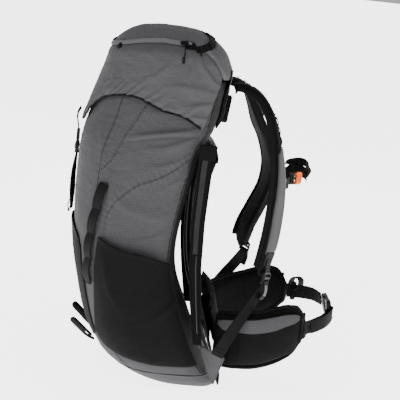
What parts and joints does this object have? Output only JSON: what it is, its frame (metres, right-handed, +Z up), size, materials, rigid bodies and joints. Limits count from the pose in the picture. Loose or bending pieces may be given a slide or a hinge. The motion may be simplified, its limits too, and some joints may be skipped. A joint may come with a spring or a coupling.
{
  "type": "trekking backpack",
  "caption": "Trekking and touring backpack with hooded lid, suspended mesh back, S-curved shoulder straps, sternum strap and padded hip belt with zipped pockets.",
  "frame": {"origin": "on the flat underside the pack stands on, on its middle plane", "axes": "+X from the pack towards its wearer, +Y the wearer's left, +Z up"},
  "size_m": [0.4859, 0.3325, 0.6165],
  "materials": {
    "ripstop": "grey ripstop",
    "lid_ripstop": "darker grey ripstop",
    "lining": "dark plain weave",
    "stretch": "matt stretch knit",
    "mesh": "open mesh",
    "padding": "foam under spacer mesh",
    "overlay": "grey ripstop",
    "webbing": "woven webbing",
    "plastic": "moulded acetal",
    "orange_plastic": "moulded orange acetal",
    "spring_steel": "black coated"
  },
  "bodies": {
    "bag": {"base_panel": "ripstop", "front_panel": "ripstop", "side_panel_right": "ripstop", "side_panel_left": "ripstop", "back_panel": "lining", "top_collar": "lining", "collar_drawcord": "webbing", "cord_lock_body": "plastic", "side_pocket_right": "stretch", "side_pocket_left": "stretch", "front_pocket": "stretch", "daisy_chain_right": "webbing", "daisy_chain_left": "webbing", "pole_loop_right": "webbing", "pole_loop_left": "webbing", "frame_wire": "spring_steel", "back_mesh": "mesh", "side_band_right": "mesh", "side_band_left": "mesh", "harness_yoke": "padding", "lumbar_pad": "padding", "stabiliser_wing_right": "ripstop", "stabiliser_wing_left": "ripstop", "wear_foot": "plastic", "lid_catch": "plastic", "lid_catch_webbing": "webbing", "lower_webbing_right": "webbing", "lower_webbing_left": "webbing"},
    "collar_button": {"cord_lock_button": "plastic"},
    "haul_loop": {"haul_loop": "webbing"},
    "lid": {"lid_top_panel": "lid_ripstop", "lid_side_panel": "ripstop", "lid_underside": "lining", "lid_corner_patch": "webbing", "lid_strap": "webbing", "lid_clip": "plastic"},
    "lid_slider": {"lid_zip_slider": "plastic"},
    "strap_right": {"shoulder_pad_right": "padding", "strap_overlay_right": "overlay"},
    "ladder_lock_right": {"ladder_lock_right": "plastic"},
    "sternum_right": {"sternum_slider_right": "plastic", "sternum_webbing_right": "webbing", "sternum_clip": "plastic"},
    "belt_right": {"hip_wing_right": "padding", "hip_pocket_right": "ripstop", "belt_webbing_right": "webbing", "belt_clip": "plastic"},
    "hip_slider_right": {"hip_zip_slider_right": "plastic"},
    "strap_left": {"shoulder_pad_left": "padding", "strap_overlay_left": "overlay"},
    "ladder_lock_left": {"ladder_lock_left": "plastic"},
    "sternum_left": {"sternum_slider_left": "plastic", "sternum_webbing_left": "webbing", "sternum_catch": "orange_plastic"},
    "belt_left": {"hip_wing_left": "padding", "hip_pocket_left": "ripstop", "belt_webbing_left": "webbing", "belt_catch": "plastic", "webbing_keeper": "plastic"},
    "hip_slider_left": {"hip_zip_slider_left": "plastic"}
  },
  "joints": [
    {"name": "lid_hinge", "type": "hinge", "parent": "bag", "child": "lid", "pos_m": [0.037, 0, 0.54], "axis": [0, 1, 0], "range_deg": [0, 60]},
    {"name": "lid_zip_slide", "type": "slide", "parent": "lid", "child": "lid_slider", "axis": [-1, 0, 0], "range_m": [0, 0.04]},
    {"name": "collar_button_press", "type": "slide", "parent": "bag", "child": "collar_button", "axis": [0, 0, -1], "range_m": [0, 0.003], "stiffness_N_per_m": 400},
    {"name": "haul_loop_swing", "type": "hinge", "parent": "bag", "child": "haul_loop", "pos_m": [0.044, 0, 0.507], "axis": [0, -1, 0], "range_deg": [0, 90]},
    {"name": "strap_swing_right", "type": "hinge", "parent": "bag", "child": "strap_right", "pos_m": [0.045, 0, 0.526], "axis": [0, -1, 0], "range_deg": [0, 10]},
    {"name": "ladder_lock_tilt_right", "type": "hinge", "parent": "strap_right", "child": "ladder_lock_right", "pos_m": [0.1278, -0.13, 0.2322], "axis": [-0.53, -0.848, 0], "range_deg": [0, 15]},
    {"name": "sternum_slide_right", "type": "slide", "parent": "strap_right", "child": "sternum_right", "axis": [0, 0, -1], "range_m": [0, 0.03]},
    {"name": "belt_swing_right", "type": "hinge", "parent": "bag", "child": "belt_right", "pos_m": [0.057, -0.104, 0.11], "axis": [0, 0, -1], "range_deg": [0, 5]},
    {"name": "hip_zip_slide_right", "type": "slide", "parent": "belt_right", "child": "hip_slider_right", "axis": [0, 0, -1], "range_m": [0, 0.04]},
    {"name": "strap_swing_left", "type": "hinge", "parent": "bag", "child": "strap_left", "pos_m": [0.045, 0, 0.526], "axis": [0, -1, 0], "range_deg": [0, 10]},
    {"name": "ladder_lock_tilt_left", "type": "hinge", "parent": "strap_left", "child": "ladder_lock_left", "pos_m": [0.12, 0.1294, 0.2265], "axis": [0.53, -0.848, 0], "range_deg": [0, 15]},
    {"name": "sternum_slide_left", "type": "slide", "parent": "strap_left", "child": "sternum_left", "axis": [0, 0, -1], "range_m": [0, 0.03]},
    {"name": "belt_swing_left", "type": "hinge", "parent": "bag", "child": "belt_left", "pos_m": [0.057, 0.104, 0.11], "axis": [0, 0, 1], "range_deg": [0, 5]},
    {"name": "hip_zip_slide_left", "type": "slide", "parent": "belt_left", "child": "hip_slider_left", "axis": [0, 0, -1], "range_m": [0, 0.04]}
  ],
  "couplings": [
    {"joint": "strap_swing_left", "follows": "strap_swing_right", "ratio": 1},
    {"joint": "sternum_slide_left", "follows": "sternum_slide_right", "ratio": 1}
  ]
}
